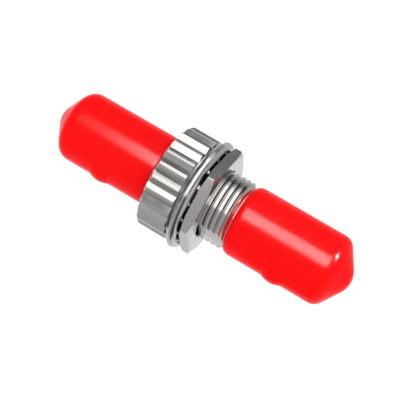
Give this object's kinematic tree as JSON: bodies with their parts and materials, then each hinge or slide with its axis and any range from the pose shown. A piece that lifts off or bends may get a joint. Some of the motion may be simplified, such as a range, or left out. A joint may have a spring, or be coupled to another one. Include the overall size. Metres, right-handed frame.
{
  "type": "bulkhead fibre adapter",
  "caption": "Bulkhead adapter that joins two bayonet fibre plugs end to end, with a knurled flange, flatted thread, lock washer, hex nut and soft dust caps.",
  "frame": {"origin": "on the adapter's axis, in the face of the flange that seats on the panel", "axes": "+X along the axis from the flange towards the nut and the front barrel; -Y out of the flat of the threaded neck; +Z out of the key slots of the barrels"},
  "size_m": [0.0433, 0.0152, 0.0152],
  "materials": {
    "nickel_body": "bright nickel plating on turned brass",
    "nickel_nut": "bright nickel plating on milled brass",
    "washer_steel": "bright nickel plating on stamped spring steel",
    "bush_brass": "turned, bare",
    "zirconia": "polished ceramic",
    "red_vinyl": "dip-moulded soft vinyl, glossy"
  },
  "bodies": {
    "adapter": {"housing": "nickel_body", "rear_barrel": "nickel_body", "front_sleeve_holder": "bush_brass", "rear_sleeve_holder": "bush_brass", "alignment_sleeve": "zirconia"},
    "washer": {"lock_washer": "washer_steel"},
    "nut": {"hex_nut": "nickel_nut"},
    "front_dust_cap": {"front_cap": "red_vinyl"},
    "rear_dust_cap": {"rear_cap": "red_vinyl"}
  },
  "joints": [
    {"name": "nut_travel", "type": "slide", "parent": "adapter", "child": "washer", "axis": [1, 0, 0], "range_m": [0, 0.003]},
    {"name": "nut_turn", "type": "hinge", "parent": "washer", "child": "nut", "pos_m": [0, 0, 0], "axis": [1, 0, 0], "range_deg": [0, 1361]},
    {"name": "front_cap_pull", "type": "slide", "parent": "adapter", "child": "front_dust_cap", "axis": [1, 0, 0], "range_m": [0, 0.024]},
    {"name": "rear_cap_pull", "type": "slide", "parent": "adapter", "child": "rear_dust_cap", "axis": [-1, 0, 0], "range_m": [0, 0.024]}
  ],
  "couplings": [
    {"joint": "nut_turn", "follows": "nut_travel", "rad_per_m": 7915.8}
  ]
}
